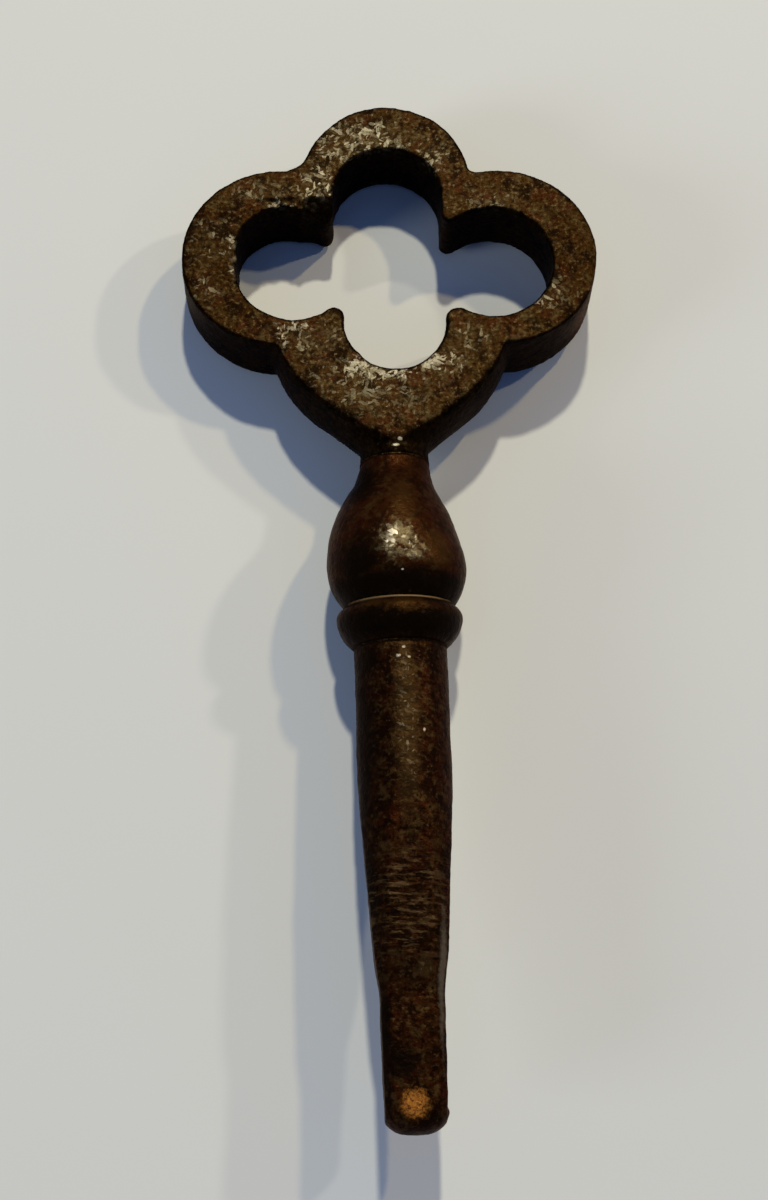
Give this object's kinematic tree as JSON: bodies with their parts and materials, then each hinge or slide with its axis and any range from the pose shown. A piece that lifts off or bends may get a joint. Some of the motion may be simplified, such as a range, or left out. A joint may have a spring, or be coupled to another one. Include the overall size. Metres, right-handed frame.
{
  "type": "clock key",
  "caption": "Old iron clock key with a pierced quatrefoil bow, a turned baluster and collar, and a round shank filed to a tapering square end.",
  "frame": {"origin": "middle of the tip of the square end, on the key's long axis", "axes": "+Y along the key from the square end to the bow, +X across the flat bow, +Z square to the bow's face"},
  "size_m": [0.0302, 0.0737, 0.0096],
  "materials": {
    "bow_iron": "brown patina, rubbed pale in specks on the faces",
    "turned_iron": "dark red-brown patina with a waxy shine",
    "filed_iron": "dark brown patina over file marks, worn bare at the tip",
    "spelter": "tarnished brazing metal",
    "pin_steel": "plain drawn rod"
  },
  "bodies": {
    "root": {"bow": "bow_iron", "neck_braze": "spelter", "baluster": "turned_iron", "upper_collar_braze": "spelter", "collar": "turned_iron", "lower_collar_braze": "spelter", "shank": "filed_iron", "core_pin": "pin_steel"}
  },
  "joints": []
}
